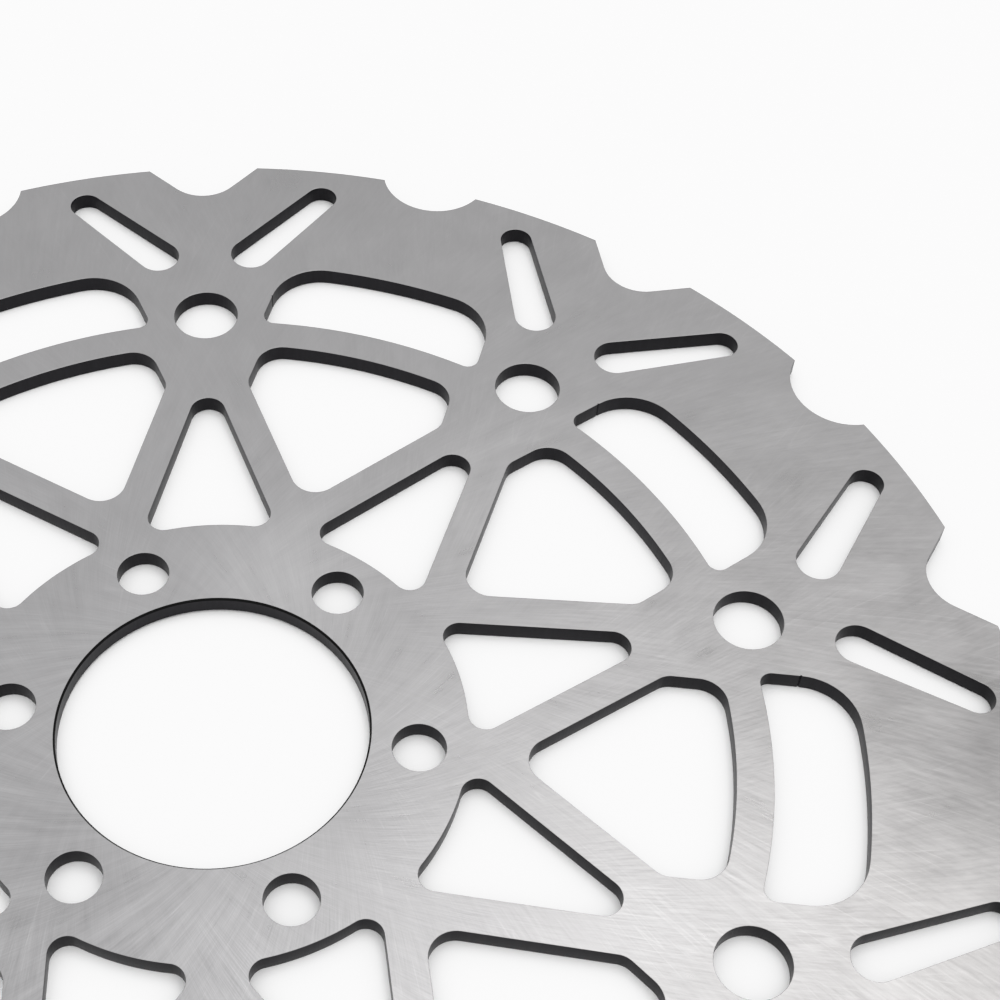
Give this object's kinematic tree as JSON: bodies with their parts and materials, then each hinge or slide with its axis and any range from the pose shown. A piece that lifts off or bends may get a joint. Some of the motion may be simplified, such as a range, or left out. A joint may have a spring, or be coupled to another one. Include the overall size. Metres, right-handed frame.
{
  "type": "brake disc rotor",
  "caption": "Flat steel motorcycle brake disc: bored hub with bolt holes, crossed spokes between open windows, slotted brake track and notched rim.",
  "frame": {"origin": "centre of the bore on the back face, the one that bolts against the wheel hub", "axes": "+Z along the disc axis, out of the outer face; +Y through a lug line, the one with a rim notch with straight flanks, a lug hole and a triangle window on it"},
  "size_m": [0.32, 0.3191, 0.004],
  "materials": {
    "ground_steel": "ground satin faces, dark laser-cut edges"
  },
  "bodies": {
    "root": {"brake_disc": "ground_steel"}
  },
  "joints": []
}
